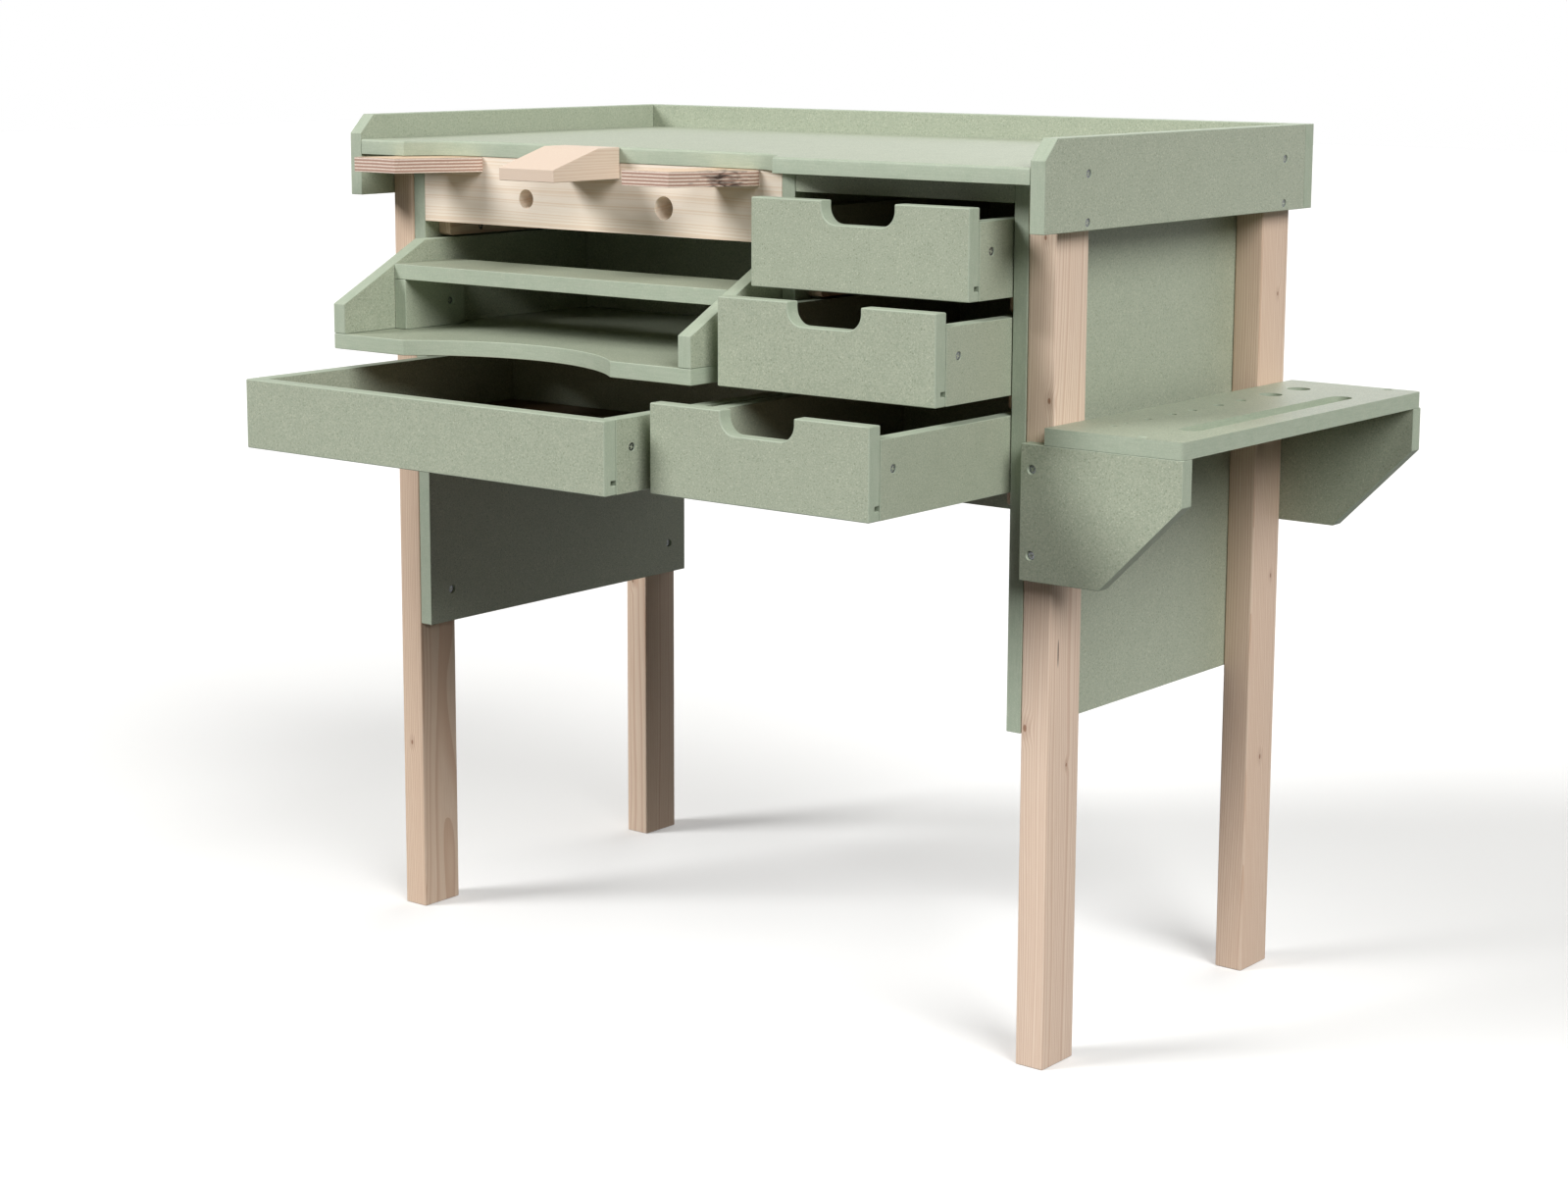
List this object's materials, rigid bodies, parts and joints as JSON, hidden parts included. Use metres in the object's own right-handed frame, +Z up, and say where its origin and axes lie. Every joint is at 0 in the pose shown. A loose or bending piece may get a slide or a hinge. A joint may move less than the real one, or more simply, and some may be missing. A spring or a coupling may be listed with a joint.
{
  "type": "jeweller's workbench",
  "caption": "Standing jeweller's bench with a cut-out worktop and gallery, removable bench pin, arm rests, sliding tray, drawers and a side shelf with holes for hand tools.",
  "frame": {"origin": "middle of the footprint on the floor, with the drawers and tray as far open as they rest", "axes": "+X to the side shelf, along the front of the bench; +Y from the front to the back; +Z up"},
  "size_m": [1.1474, 0.7954, 0.993],
  "materials": {
    "green_mdf": "bare moisture-resistant MDF, smooth and matt",
    "softwood": "planed and sanded, unfinished",
    "birch_plywood": "sanded, unfinished",
    "hardboard": "smooth hard face"
  },
  "bodies": {
    "bench": {"leg_front_left": "softwood", "leg_front_right": "softwood", "leg_rear_left": "softwood", "leg_rear_right": "softwood", "apron": "softwood", "runner_wide_left": "softwood", "runner_wide_right": "softwood", "runner_tray_left": "softwood", "runner_tray_right": "softwood", "kicker_tray_left": "softwood", "kicker_tray_right": "softwood", "runner_lower_left": "softwood", "runner_lower_right": "softwood", "runner_middle_left": "softwood", "runner_middle_right": "softwood", "runner_top_left": "softwood", "runner_top_right": "softwood", "side_panel_left": "green_mdf", "side_panel_right": "green_mdf", "back_panel": "green_mdf", "divider": "green_mdf", "upper_rail": "green_mdf", "worktop": "green_mdf", "gallery_left": "green_mdf", "gallery_right": "green_mdf", "gallery_back": "green_mdf", "tool_shelf": "green_mdf", "shelf_bracket_front": "green_mdf", "shelf_bracket_rear": "green_mdf", "armrest_left": "birch_plywood", "armrest_right": "birch_plywood"},
    "upper_tray": {"tray_base": "green_mdf", "tray_side_left": "green_mdf", "tray_side_right": "green_mdf", "tray_shelf": "green_mdf", "tray_support_left": "green_mdf", "tray_support_right": "green_mdf", "tray_back": "green_mdf"},
    "wide_drawer": {"wide_front": "green_mdf", "wide_side_left": "green_mdf", "wide_side_right": "green_mdf", "wide_back": "green_mdf", "wide_bottom": "hardboard"},
    "drawer_lower": {"lower_front": "green_mdf", "lower_side_left": "green_mdf", "lower_side_right": "green_mdf", "lower_back": "green_mdf", "lower_bottom": "hardboard"},
    "drawer_middle": {"middle_front": "green_mdf", "middle_side_left": "green_mdf", "middle_side_right": "green_mdf", "middle_back": "green_mdf", "middle_bottom": "hardboard"},
    "drawer_top": {"top_front": "green_mdf", "top_side_left": "green_mdf", "top_side_right": "green_mdf", "top_back": "green_mdf", "top_bottom": "hardboard"},
    "bench_pin": {"bench_pin": "softwood"}
  },
  "joints": [
    {"name": "tray_slide", "type": "slide", "parent": "bench", "child": "upper_tray", "axis": [0, -1, 0], "range_m": [-0.154, 0.166]},
    {"name": "wide_drawer_slide", "type": "slide", "parent": "bench", "child": "wide_drawer", "axis": [0, -1, 0], "range_m": [-0.292, 0.028]},
    {"name": "lower_drawer_slide", "type": "slide", "parent": "bench", "child": "drawer_lower", "axis": [0, -1, 0], "range_m": [-0.245, 0.075]},
    {"name": "middle_drawer_slide", "type": "slide", "parent": "bench", "child": "drawer_middle", "axis": [0, -1, 0], "range_m": [-0.135, 0.185]},
    {"name": "top_drawer_slide", "type": "slide", "parent": "bench", "child": "drawer_top", "axis": [0, -1, 0], "range_m": [-0.0785, 0.2415]},
    {"name": "bench_pin_slide", "type": "slide", "parent": "bench", "child": "bench_pin", "axis": [0, -1, 0], "range_m": [0, 0.06]}
  ]
}
